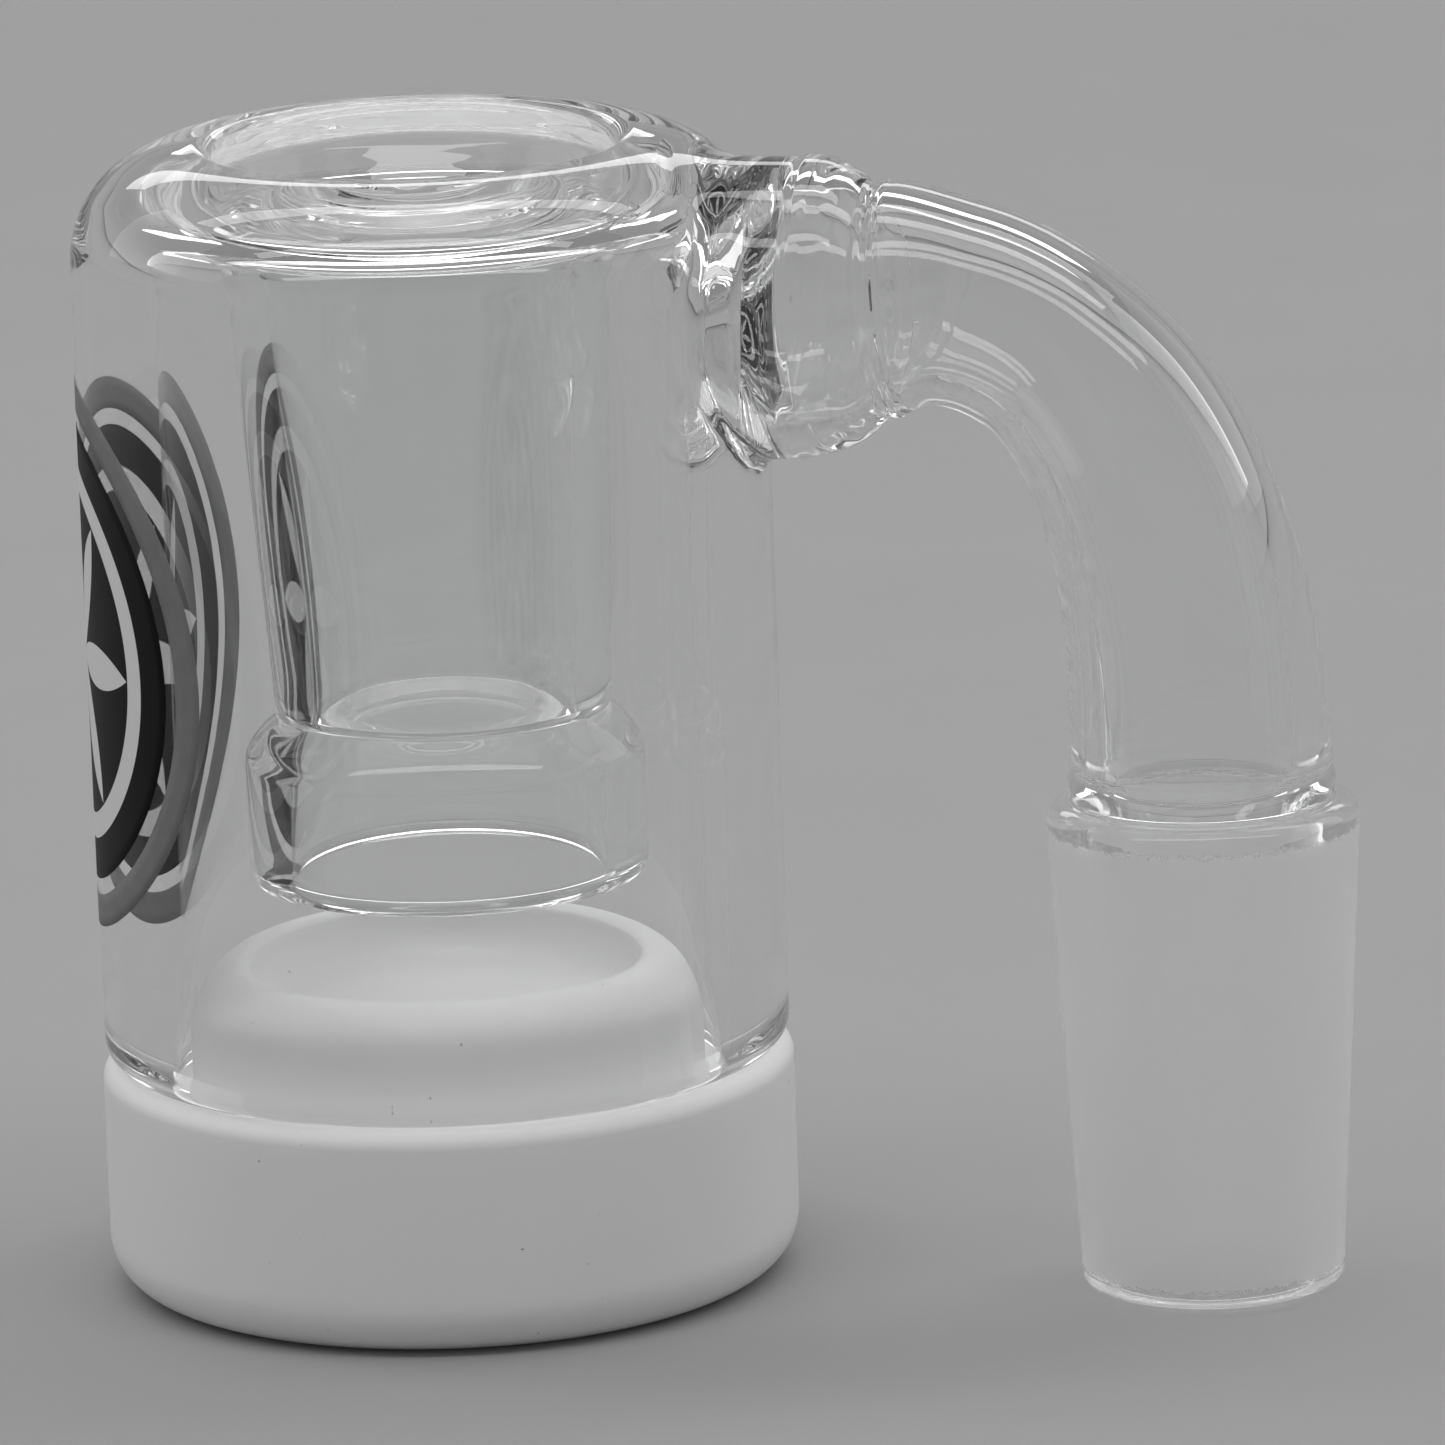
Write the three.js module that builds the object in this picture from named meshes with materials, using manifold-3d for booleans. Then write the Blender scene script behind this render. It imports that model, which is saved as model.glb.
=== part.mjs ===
// Lampworked glass catcher: a heavy-walled jar with an inner socket tube and a side arm that ends in
// a ground cone, standing on a white dish that plugs into the jar's open bottom.
// Millimetres, +Z up. The jar's axis is the Z axis, the resting surface is Z = 0, the arm points to +X.

import * as THREE from 'three';
import Module from 'manifold-3d';
import { mergeVertices } from 'three/addons/utils/BufferGeometryUtils.js';

// Driving dimensions
const ROUND_SIDES = 48;            // sides of the big turned pieces
const TUBE_SIDES = 32;             // sides of the arm, the bead and the cone
const WELD_GAP = 0.3;              // gap left where two blanks are fused on the real piece
const SEAT_GAP = 0.05;             // gap where the glass rests on the dish

const JAR_RADIUS = 16.1;
const JAR_WALL = 3.8;
const JAR_EDGE_BEVEL = 0.6;        // polished bevel at the jar's lower edge
const SHOULDER_RADIUS = 5.3;
const SHOULDER_Z = 48.9;           // where the straight wall turns into the shoulder
const SHOULDER_SHARE = 76;         // degrees of shoulder on the jar, the rest belongs to the mouth

const DISH_RADIUS = 16.25;
const DISH_STEP_Z = 10.8;          // the ledge that the jar stands on
const DISH_FOOT_ROUND = 2.6;
const DISH_LEDGE_ROUND = 0.5;
const PLUG_RADIUS = 11.85;
const PLUG_TOP_Z = 15.8;
const PLUG_LIP = 2;                // radius of the rounded lip round the recess
const RECESS_RADIUS = 9.2;
const RECESS_DEPTH = 2.2;
const RECESS_LAND = 0.3;           // flat between the plug's lip and the recess
const BOWL_SHARE = 0.8;            // radius of the recess's corner as a share of its depth

// A 14/23 socket and cone: 14.5 mm across at the wide end, 23 mm long, 1:10 on diameter
const GROUND_RADIUS = 7.25;
const GROUND_LENGTH = 23;
const GROUND_TAPER = 1 / 20;       // change of radius per millimetre of length

const SOCKET_WALL = 1.8;
const WAIST_Z = 28;                // narrow end of the socket
const MOUTH_DEPTH = 4.6;           // from the crest down to where the throat meets the socket's bore
const MOUTH_FOOT = 6;              // from the crest down to the lower end of the rolled mouth
const FUNNEL_RADIUS = 7.55;        // where the funnel under the lip turns down into the throat
const FUNNEL_DEPTH = 3;            // from the crest down to that turn
const LIP_CENTRE = 10.1;           // distance of the lip's round from the axis
const LIP_RADIUS = 1.8;

const SKIRT_BOTTOM_Z = 19.5;
const SKIRT_OUTER = 9.35;
const SKIRT_WALL = 2;
const SKIRT_SWELL = 2.2;           // height over which the waist swells out to the skirt

const COLLAR_Z = 46.3;
const COLLAR_RADIUS = 7;
const COLLAR_END_X = 21.7;
const COLLAR_BORE = 4.2;
const COLLAR_NECKING = [[3.2, 0], [1.6, 0.25], [0.6, 0.75]]; // distance from the end, drop in radius

// The bent tube's centreline in the X-Z plane, and its outer radius at even shares of the way along
const ARM_START = [22.4, 46.8];
const ARM_LEVEL = [27, 47.2];      // handle that keeps the start nearly level
const ARM_DROP = [36.2, 44.2];     // handle that brings the end straight down
const ARM_END = [36.2, 25.3];
const ARM_RADII = [5.6, 4.8, 4.7, 5.1, 5.6, 6.1];
const ARM_WALL = 1.25;
const ARM_STEPS = 20;

const BEAD_RADIUS = 6.3;
const BEAD_BORE = 4.6;
const CONE_FOOT_Z = 0.4;
const CONE_WALL = 1.8;
const CONE_SHOULDER = 0.9;
const CONE_EDGE = 0.4;

const BADGE_RADIUS = 12.95;
const BADGE_BAND = 1.5;            // width of the outer ring
const BADGE_DISC = 10.7;           // radius of the disc inside the ring
const BADGE_Z = 30.7;
const BADGE_TURN = 195;            // degrees from +X round to the badge's centre
const BADGE_FILM = 0.06;
const BADGE_LIFT = 0.03;           // clearance between the film and the glass
const FILM_SECTORS = 40;
const FILM_RING = 1.6;             // widest step between two rings of a film

const wasm = await Module();
wasm.setup();

const clearGlass = { color: 0xe9edee, roughness: 0.02, metalness: 0, transparent: true, opacity: 0.35 };
const groundGlass = { color: 0xe4e6e6, roughness: 0.55, metalness: 0, transparent: true, opacity: 0.7 };
const whiteDish = { color: 0xf2f2f0, roughness: 0.4, metalness: 0 };
const greyInk = { color: 0x8c8c8c, roughness: 0.5, metalness: 0 };
const blackInk = { color: 0x1a1a1a, roughness: 0.5, metalness: 0 };

const jarBore = JAR_RADIUS - JAR_WALL;
const shoulderCentre = JAR_RADIUS - SHOULDER_RADIUS;
const underShoulder = SHOULDER_RADIUS - JAR_WALL;
const crestZ = SHOULDER_Z + SHOULDER_RADIUS;
const waistBore = GROUND_RADIUS - GROUND_LENGTH * GROUND_TAPER;
const socketTopZ = crestZ - MOUTH_FOOT - WELD_GAP;
const coneX = ARM_END[0];
const coneTopZ = CONE_FOOT_Z + GROUND_LENGTH;

// The socket's bore widens upwards at the standard taper.
function socketBoreAt(z) {
  return waistBore + (z - WAIST_Z) * GROUND_TAPER;
}

// Points of an arc about (x, y), with its angles in degrees.
function arc(x, y, radius, from, to, steps) {
  return Array.from({ length: steps + 1 }, (_, i) => {
    const angle = THREE.MathUtils.degToRad(from + ((to - from) * i) / steps);
    return [x + radius * Math.cos(angle), y + radius * Math.sin(angle)];
  });
}

// A turned solid about +Z. Its outline is [radius, z] points that run up the outside and down the inside.
function turned(outline, sides = ROUND_SIDES) {
  const points = outline.map(([radius, z]) => new THREE.Vector2(radius, z));
  return new THREE.LatheGeometry(points, sides).rotateX(Math.PI / 2);
}

function turnedRing(outline, sides = ROUND_SIDES) {
  return turned([...outline, outline[0]], sides);
}

// Shared vertices merged, and triangles that have shrunk to a line left out.
function welded(geometry) {
  const bare = geometry.clone();
  bare.deleteAttribute('normal');
  bare.deleteAttribute('uv');
  const merged = mergeVertices(bare, 1e-4);
  const kept = [];
  for (let i = 0; i < merged.index.count; i += 3) {
    const [a, b, c] = [0, 1, 2].map((corner) => merged.index.getX(i + corner));
    if (a !== b && b !== c && c !== a) {
      kept.push(a, b, c);
    }
  }
  merged.setIndex(kept);
  return merged;
}

function toSolid(geometry) {
  const closed = welded(geometry);
  return new wasm.Manifold(new wasm.Mesh({
    numProp: 3,
    vertProperties: new Float32Array(closed.attributes.position.array),
    triVerts: new Uint32Array(closed.index.array),
  }));
}

function toGeometry(solid) {
  const mesh = solid.getMesh();
  const geometry = new THREE.BufferGeometry();
  geometry.setAttribute('position', new THREE.BufferAttribute(mesh.vertProperties, 3));
  geometry.setIndex(new THREE.BufferAttribute(mesh.triVerts, 1));
  geometry.computeVertexNormals();
  return geometry;
}

// A turned solid that lies along +X at the collar's height. Its outline is [radius, x] points.
function lyingTurned(outline) {
  return toSolid(turned(outline, TUBE_SIDES).rotateY(Math.PI / 2).translate(0, 0, COLLAR_Z));
}

function collarBore(fromX, toX) {
  return lyingTurned([[0, fromX], [COLLAR_BORE, fromX], [COLLAR_BORE, toX], [0, toX]]);
}

function makeDish() {
  const bowlRound = RECESS_DEPTH * BOWL_SHARE;
  const bowlFloorZ = PLUG_TOP_Z - RECESS_DEPTH;
  const ledgeCentre = DISH_RADIUS - DISH_LEDGE_ROUND;
  return turned([
    [0, 0],
    ...arc(DISH_RADIUS - DISH_FOOT_ROUND, DISH_FOOT_ROUND, DISH_FOOT_ROUND, -90, 0, 5),
    ...arc(ledgeCentre, DISH_STEP_Z - DISH_LEDGE_ROUND, DISH_LEDGE_ROUND, 0, 90, 3),
    [PLUG_RADIUS, DISH_STEP_Z],
    ...arc(PLUG_RADIUS - PLUG_LIP, PLUG_TOP_Z - PLUG_LIP, PLUG_LIP, 0, 90, 4),
    [RECESS_RADIUS + RECESS_LAND, PLUG_TOP_Z],
    ...arc(RECESS_RADIUS - bowlRound, bowlFloorZ + bowlRound, bowlRound, 0, -90, 4),
    [0, bowlFloorZ],
  ]);
}

function makeJar() {
  const footZ = DISH_STEP_Z + SEAT_GAP;
  const wall = turnedRing([
    [jarBore + JAR_EDGE_BEVEL, footZ],
    [JAR_RADIUS - JAR_EDGE_BEVEL, footZ],
    [JAR_RADIUS, footZ + JAR_EDGE_BEVEL],
    ...arc(shoulderCentre, SHOULDER_Z, SHOULDER_RADIUS, 0, SHOULDER_SHARE, 7),
    ...arc(shoulderCentre, SHOULDER_Z, underShoulder, SHOULDER_SHARE, 0, 3),
    [jarBore, footZ + JAR_EDGE_BEVEL],
  ]);
  return toGeometry(toSolid(wall).subtract(collarBore(jarBore / 2, COLLAR_END_X)));
}

// The rolled mouth: the last of the shoulder, a flat crest, and a throat that narrows to the socket.
function makeMouth() {
  const footZ = crestZ - MOUTH_FOOT;
  const footBore = socketBoreAt(footZ);
  const throatBore = socketBoreAt(crestZ - MOUTH_DEPTH);
  const shareStart = SHOULDER_SHARE + 3;
  const roof = arc(shoulderCentre, SHOULDER_Z, underShoulder, 110, shareStart, 2);
  return turnedRing([
    [footBore + SOCKET_WALL, footZ],
    ...roof,
    ...arc(shoulderCentre, SHOULDER_Z, SHOULDER_RADIUS, shareStart, 90, 2),
    ...arc(LIP_CENTRE, crestZ - LIP_RADIUS, LIP_RADIUS, 90, 135, 3),
    [FUNNEL_RADIUS, crestZ - FUNNEL_DEPTH],
    [throatBore, crestZ - MOUTH_DEPTH],
    [footBore, footZ],
  ]);
}

function makeSocket() {
  return turnedRing([
    [waistBore + SOCKET_WALL, WAIST_Z],
    [socketBoreAt(socketTopZ) + SOCKET_WALL, socketTopZ],
    [socketBoreAt(socketTopZ), socketTopZ],
    [waistBore, WAIST_Z],
  ]);
}

// Below the waist the tube swells to a skirt and falls straight to a fire-polished edge.
function makeSkirt() {
  const topZ = WAIST_Z - WELD_GAP;
  const edge = SKIRT_WALL / 2;
  const steps = 6;
  const swell = (from, to) => Array.from({ length: steps + 1 }, (_, i) => {
    const fall = (i / steps) * SKIRT_SWELL;
    return [from + (to - from) * Math.sin((i / steps) * (Math.PI / 2)), topZ - fall];
  });
  return turnedRing([
    ...arc(SKIRT_OUTER - edge, SKIRT_BOTTOM_Z + edge, edge, -180, 0, 6),
    ...swell(waistBore + SOCKET_WALL, SKIRT_OUTER).reverse(),
    ...swell(waistBore, SKIRT_OUTER - SKIRT_WALL),
  ]);
}

// The short stub blown out of the jar's shoulder, shaped to the jar's outside and necked at its end.
function makeCollar() {
  const neckRadius = ARM_RADII[0];
  const stub = lyingTurned([
    [0, jarBore],
    [COLLAR_RADIUS, jarBore],
    ...COLLAR_NECKING.map(([back, drop]) => [COLLAR_RADIUS - drop, COLLAR_END_X - back]),
    [neckRadius, COLLAR_END_X],
    [0, COLLAR_END_X],
  ]);
  const jarAndGap = turned([
    [0, 0],
    [JAR_RADIUS + WELD_GAP, 0],
    ...arc(shoulderCentre, SHOULDER_Z, SHOULDER_RADIUS + WELD_GAP, 0, 90, 7),
    [0, crestZ + WELD_GAP],
  ]);
  return toGeometry(stub.subtract(collarBore(0, COLLAR_END_X + 1)).subtract(toSolid(jarAndGap)));
}

// The bent tube thins where it bends and thickens again towards the cone, so its rings follow a list of radii.
function makeArm() {
  const [start, level, drop, end] = [ARM_START, ARM_LEVEL, ARM_DROP, ARM_END]
    .map(([x, z]) => new THREE.Vector3(x, 0, z));
  const route = new THREE.CubicBezierCurve3(start, level, drop, end);
  const radiusAt = (share) => {
    const place = share * (ARM_RADII.length - 1);
    const knot = Math.min(Math.floor(place), ARM_RADII.length - 2);
    return THREE.MathUtils.lerp(ARM_RADII[knot], ARM_RADII[knot + 1], place - knot);
  };
  const across = new THREE.Vector3(0, 1, 0);
  const positions = [];
  const index = [];
  for (let step = 0; step <= ARM_STEPS; step += 1) {
    const share = step / ARM_STEPS;
    const middle = route.getPoint(share);
    const out = route.getTangent(share).cross(across);
    for (const radius of [radiusAt(share), radiusAt(share) - ARM_WALL]) {
      for (let side = 0; side < TUBE_SIDES; side += 1) {
        const angle = (side / TUBE_SIDES) * 2 * Math.PI;
        const point = middle.clone()
          .addScaledVector(out, radius * Math.cos(angle))
          .addScaledVector(across, radius * Math.sin(angle));
        positions.push(point.x, point.y, point.z);
      }
    }
  }
  const quad = (a, b, c, d) => index.push(a, b, c, a, c, d);
  const ring = 2 * TUBE_SIDES;
  for (let side = 0; side < TUBE_SIDES; side += 1) {
    const next = (side + 1) % TUBE_SIDES;
    for (let step = 0; step < ARM_STEPS; step += 1) {
      const here = step * ring;
      const ahead = here + ring;
      quad(here + side, ahead + side, ahead + next, here + next);
      const bore = here + TUBE_SIDES;
      const boreAhead = ahead + TUBE_SIDES;
      quad(bore + side, bore + next, boreAhead + next, boreAhead + side);
    }
    const last = ARM_STEPS * ring;
    quad(side, next, TUBE_SIDES + next, TUBE_SIDES + side);
    quad(last + side, last + TUBE_SIDES + side, last + TUBE_SIDES + next, last + next);
  }
  const tube = new THREE.BufferGeometry();
  tube.setAttribute('position', new THREE.Float32BufferAttribute(positions, 3));
  tube.setIndex(index);
  tube.computeVertexNormals();
  return tube;
}

function makeBead() {
  const topZ = ARM_END[1] - WELD_GAP;
  const bottomZ = coneTopZ + WELD_GAP;
  const half = (topZ - bottomZ) / 2;
  return turnedRing([
    ...arc(BEAD_RADIUS - half, bottomZ + half, half, -90, 90, 6),
    [BEAD_BORE, topZ],
    [BEAD_BORE, bottomZ],
  ], TUBE_SIDES).translate(coneX, 0, 0);
}

// The ground cone: rounded shoulder, 1:10 taper and a flat polished end.
function makeCone() {
  const footRadius = GROUND_RADIUS - GROUND_LENGTH * GROUND_TAPER;
  return turnedRing([
    [footRadius - CONE_WALL, CONE_FOOT_Z],
    [footRadius - CONE_EDGE, CONE_FOOT_Z],
    [footRadius, CONE_FOOT_Z + CONE_EDGE],
    ...arc(GROUND_RADIUS - CONE_SHOULDER, coneTopZ - CONE_SHOULDER, CONE_SHOULDER, 0, 90, 4),
    [BEAD_BORE, coneTopZ],
    [GROUND_RADIUS - CONE_WALL, coneTopZ - 2 * CONE_SHOULDER],
  ], TUBE_SIDES).translate(coneX, 0, 0);
}

// A thin printed film between two radii of the badge, bent round the jar. An inner radius of 0 is a disc.
function badgeFilm(inner, outer) {
  const sectors = FILM_SECTORS;
  const rings = Math.max(1, Math.round((outer - inner) / FILM_RING));
  const positions = [];
  const index = [];
  const onJar = (radius, around, depth) => {
    const turn = THREE.MathUtils.degToRad(BADGE_TURN) + (radius * Math.cos(around)) / JAR_RADIUS;
    positions.push(depth * Math.cos(turn), depth * Math.sin(turn), BADGE_Z + radius * Math.sin(around));
  };
  for (const depth of [JAR_RADIUS + BADGE_LIFT, JAR_RADIUS + BADGE_LIFT + BADGE_FILM]) {
    for (let ring = 0; ring <= rings; ring += 1) {
      for (let sector = 0; sector < sectors; sector += 1) {
        onJar(inner + ((outer - inner) * ring) / rings, (sector / sectors) * 2 * Math.PI, depth);
      }
    }
  }
  const layer = (rings + 1) * sectors;
  const quad = (a, b, c, d) => index.push(a, b, c, a, c, d);
  for (let sector = 0; sector < sectors; sector += 1) {
    const next = (sector + 1) % sectors;
    for (let ring = 0; ring < rings; ring += 1) {
      const near = ring * sectors;
      const far = near + sectors;
      quad(near + sector, near + next, far + next, far + sector);
      quad(layer + near + sector, layer + far + sector, layer + far + next, layer + near + next);
    }
    const rim = rings * sectors;
    quad(rim + sector, rim + next, layer + rim + next, layer + rim + sector);
    if (inner > 0) {
      quad(next, sector, layer + sector, layer + next);
    }
  }
  const film = new THREE.BufferGeometry();
  film.setAttribute('position', new THREE.Float32BufferAttribute(positions, 3));
  film.setIndex(index);
  const closed = welded(film);
  closed.computeVertexNormals();
  return closed;
}

const part = new THREE.Group();

function addPiece(name, geometry, finish) {
  const mesh = new THREE.Mesh(geometry, new THREE.MeshStandardMaterial(finish));
  mesh.name = name;
  part.add(mesh);
}

addPiece('white_dish', makeDish(), whiteDish);
addPiece('outer_jar', makeJar(), clearGlass);
addPiece('rolled_mouth', makeMouth(), clearGlass);
addPiece('socket_tube', makeSocket(), clearGlass);
addPiece('flared_skirt', makeSkirt(), clearGlass);
addPiece('arm_collar', makeCollar(), clearGlass);
addPiece('bent_arm', makeArm(), clearGlass);
addPiece('weld_bead', makeBead(), clearGlass);
addPiece('ground_cone', makeCone(), groundGlass);
addPiece('badge_ring', badgeFilm(BADGE_RADIUS - BADGE_BAND, BADGE_RADIUS), greyInk);
addPiece('badge_disc', badgeFilm(0, BADGE_DISC), blackInk);

export default part;
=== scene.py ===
import math

import bmesh
import bpy
from mathutils import Matrix, Vector, noise


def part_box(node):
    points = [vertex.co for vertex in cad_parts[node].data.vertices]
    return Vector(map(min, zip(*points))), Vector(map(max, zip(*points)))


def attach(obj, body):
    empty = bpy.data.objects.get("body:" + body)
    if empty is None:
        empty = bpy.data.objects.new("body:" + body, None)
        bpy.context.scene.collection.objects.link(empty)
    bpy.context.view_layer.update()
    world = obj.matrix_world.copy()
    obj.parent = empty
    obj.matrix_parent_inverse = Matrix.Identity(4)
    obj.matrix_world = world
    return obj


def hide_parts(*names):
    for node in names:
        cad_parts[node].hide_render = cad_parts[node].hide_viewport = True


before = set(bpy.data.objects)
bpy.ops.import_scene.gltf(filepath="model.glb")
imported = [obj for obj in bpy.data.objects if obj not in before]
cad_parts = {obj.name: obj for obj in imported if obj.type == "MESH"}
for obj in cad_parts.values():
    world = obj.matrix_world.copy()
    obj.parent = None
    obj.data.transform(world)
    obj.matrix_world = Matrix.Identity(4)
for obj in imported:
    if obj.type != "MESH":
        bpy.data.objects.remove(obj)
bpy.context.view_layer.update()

# Meshes are drawn in millimetres about the jar's axis and scaled once, when they become objects.
millimetre = 0.001


def cadCorners(node):
    low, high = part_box(node)
    return low / millimetre, high / millimetre


dishHigh = cadCorners("white_dish")[1]
jarLow, jarHigh = cadCorners("outer_jar")
crestZ = cadCorners("rolled_mouth")[1].z
waistZ = cadCorners("socket_tube")[0].z
skirtLow, skirtHigh = cadCorners("flared_skirt")
collarLow, collarHigh = cadCorners("arm_collar")
beadLow, beadHigh = cadCorners("weld_bead")
coneLow, coneHigh = cadCorners("ground_cone")
ringLow, ringHigh = cadCorners("badge_ring")


def straight(start, end, spacing=0.8):  # points from start up to, but not including, end
    length = math.hypot(end[0] - start[0], end[1] - start[1])
    steps = max(1, round(length / spacing))
    shares = [i / steps for i in range(steps)]
    return [(start[0] + (end[0] - start[0]) * t, start[1] + (end[1] - start[1]) * t) for t in shares]


def arc(centre, radius, start, end, spacing=0.3):
    steps = max(3, round(abs(math.radians(end - start)) * radius / spacing))
    angles = [math.radians(start + (end - start) * i / steps) for i in range(steps + 1)]
    return [(centre[0] + radius * math.cos(a), centre[1] + radius * math.sin(a)) for a in angles]


def eased(start, end, leaveSlope, arriveSlope, steps):  # a Hermite curve between two outline points
    points = []
    for i in range(steps + 1):
        t = i / steps
        weights = (2*t**3 - 3*t**2 + 1, t**3 - 2*t**2 + t, 3*t**2 - 2*t**3, t**3 - t**2)
        parts = (start, leaveSlope, end, arriveSlope)
        points.append(tuple(sum(w * p[axis] for w, p in zip(weights, parts)) for axis in (0, 1)))
    return points


def smoothThrough(knots, x):  # a curve through (x, y) knots that never overshoots them
    if x <= knots[0][0]:
        return knots[0][1]
    if x >= knots[-1][0]:
        return knots[-1][1]
    rises = [(b[1] - a[1]) / (b[0] - a[0]) for a, b in zip(knots, knots[1:])]
    slopes = [rises[0]]
    for before, after in zip(rises, rises[1:]):
        slopes.append(0 if before * after <= 0 else 2 * before * after / (before + after))
    slopes.append(rises[-1])
    i = max(k for k in range(len(knots) - 1) if knots[k][0] <= x)
    width = knots[i + 1][0] - knots[i][0]
    t = (x - knots[i][0]) / width
    return ((2*t**3 - 3*t**2 + 1) * knots[i][1] + (t**3 - 2*t**2 + t) * width * slopes[i]
            + (3*t**2 - 2*t**3) * knots[i + 1][1] + (t**3 - t**2) * width * slopes[i + 1])


def bump(distance, width):  # 1 at the middle, falling softly to 0
    return math.exp(-(distance / width) ** 2)


class Skin:  # vertices and faces gathered ring by ring
    def __init__(self):
        self.points = []
        self.faces = []
        self.finishes = []

    def ring(self, points):
        first = len(self.points)
        self.points.extend(points)
        return list(range(first, len(self.points)))

    def join(self, ringA, ringB, finish=0, skip=()):
        count = len(ringA)
        for k in range(count):
            if k in skip:
                continue
            after = (k + 1) % count
            self.faces.append((ringA[k], ringB[k], ringB[after], ringA[after]))
            self.finishes.append(finish)

    def grow(self, last, points, finish=0):  # a new ring, joined to the last one
        ring = self.ring(points)
        self.join(last, ring, finish)
        return ring

    def piece(self, name, materials):
        mesh = bpy.data.meshes.new(name)
        mesh.from_pydata([Vector(p) * millimetre for p in self.points], [], self.faces)
        for material in materials:
            mesh.materials.append(material)
        mesh.polygons.foreach_set("material_index", self.finishes)
        mesh.polygons.foreach_set("use_smooth", [True] * len(self.faces))
        shape = bmesh.new()
        shape.from_mesh(mesh)
        bmesh.ops.delete(shape, geom=[v for v in shape.verts if not v.link_faces], context="VERTS")
        bmesh.ops.recalc_face_normals(shape, faces=shape.faces)
        shape.to_mesh(mesh)
        shape.free()
        piece = bpy.data.objects.new(name, mesh)
        bpy.context.scene.collection.objects.link(piece)
        return piece


def around(radius, height, count, first=0.0):  # one turned ring about the jar's axis
    angles = [first + 2 * math.pi * k / count for k in range(count)]
    return [(radius * math.cos(a), radius * math.sin(a), height) for a in angles]


def newMaterial(name):
    material = bpy.data.materials.new(name)
    material.use_nodes = True
    nodes = material.node_tree.nodes
    nodes.clear()
    output = nodes.new("ShaderNodeOutputMaterial")
    shader = nodes.new("ShaderNodeBsdfPrincipled")
    material.node_tree.links.new(shader.outputs[0], output.inputs[0])
    return material, material.node_tree, shader


def letLampsThrough(tree, shader, share):  # lamps light what stands inside or behind the glass
    output = next(n for n in tree.nodes if n.type == "OUTPUT_MATERIAL")
    clear = tree.nodes.new("ShaderNodeBsdfTransparent")
    clear.inputs["Color"].default_value = (share, share, share, 1)
    rays = tree.nodes.new("ShaderNodeLightPath")
    mix = tree.nodes.new("ShaderNodeMixShader")
    tree.links.new(rays.outputs["Is Shadow Ray"], mix.inputs[0])
    tree.links.new(shader.outputs[0], mix.inputs[1])
    tree.links.new(clear.outputs[0], mix.inputs[2])
    tree.links.new(mix.outputs[0], output.inputs[0])


def mathNode(tree, operation, first, second=None, third=None):
    node = tree.nodes.new("ShaderNodeMath")
    node.operation = operation
    for socket, value in zip(node.inputs, (first, second, third)):
        if value is None:
            continue
        if isinstance(value, (int, float)):
            socket.default_value = value
        else:
            tree.links.new(value, socket)
    return node.outputs[0]


def noiseNode(tree, vector, scale, detail=2.0, roughness=0.5):
    node = tree.nodes.new("ShaderNodeTexNoise")
    node.inputs["Scale"].default_value = scale
    node.inputs["Detail"].default_value = detail
    node.inputs["Roughness"].default_value = roughness
    tree.links.new(vector, node.inputs["Vector"])
    return node.outputs["Fac"]


def rangeNode(tree, value, fromMin, fromMax, toMin, toMax):
    node = tree.nodes.new("ShaderNodeMapRange")
    tree.links.new(value, node.inputs["Value"])
    limits = {"From Min": fromMin, "From Max": fromMax, "To Min": toMin, "To Max": toMax}
    for name, limit in limits.items():
        node.inputs[name].default_value = limit
    return node.outputs["Result"]


def objectPlace(tree):
    return tree.nodes.new("ShaderNodeTexCoord").outputs["Object"]


def stretched(tree, vector, scale):
    node = tree.nodes.new("ShaderNodeMapping")
    node.inputs["Scale"].default_value = scale
    tree.links.new(vector, node.inputs["Vector"])
    return node.outputs[0]


def bumpNode(tree, shader, height, strength, distance):
    node = tree.nodes.new("ShaderNodeBump")
    node.inputs["Strength"].default_value = strength
    node.inputs["Distance"].default_value = distance
    tree.links.new(height, node.inputs["Height"])
    tree.links.new(node.outputs[0], shader.inputs["Normal"])


clearGlass = {
    "ior": 1.474,            # borosilicate
    "lampShare": 0.8,        # what each skin passes of a lamp's light
    "tint": (0.985, 0.988, 0.988, 1),
    "drawLines": 0.000004,   # metres of height in the faint lines left by drawing the tube
    "linesPerMetre": (420, 420, 30),
}


def makeClearGlass():
    material, tree, shader = newMaterial("clearGlass")
    shader.inputs["Base Color"].default_value = clearGlass["tint"]
    shader.inputs["Roughness"].default_value = 0.0
    shader.inputs["IOR"].default_value = clearGlass["ior"]
    shader.inputs["Transmission Weight"].default_value = 1.0
    lines = noiseNode(tree, stretched(tree, objectPlace(tree), clearGlass["linesPerMetre"]), 1.0, 3.0)
    bumpNode(tree, shader, lines, 0.5, clearGlass["drawLines"])
    letLampsThrough(tree, shader, clearGlass["lampShare"])
    return material


groundGlass = {
    "top": 0.0222,           # height where the grinding starts, metres
    "topFade": (0.0002, 0.0005),
    "foot": 0.0012,          # and where it stops above the polished end
    "footFade": (0.0002, 0.0006),
    "raggedScale": 2500,     # the edge of the ground band wanders a little
    "raggedRise": 0.0007,
    "roughness": 0.5,
    "cloud": 0.55,           # share of light that the ground skin scatters back
    "tint": (0.97, 0.97, 0.97, 1),
    "grain": 9000.0,
    "grainHeight": 0.00003,
}


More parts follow.
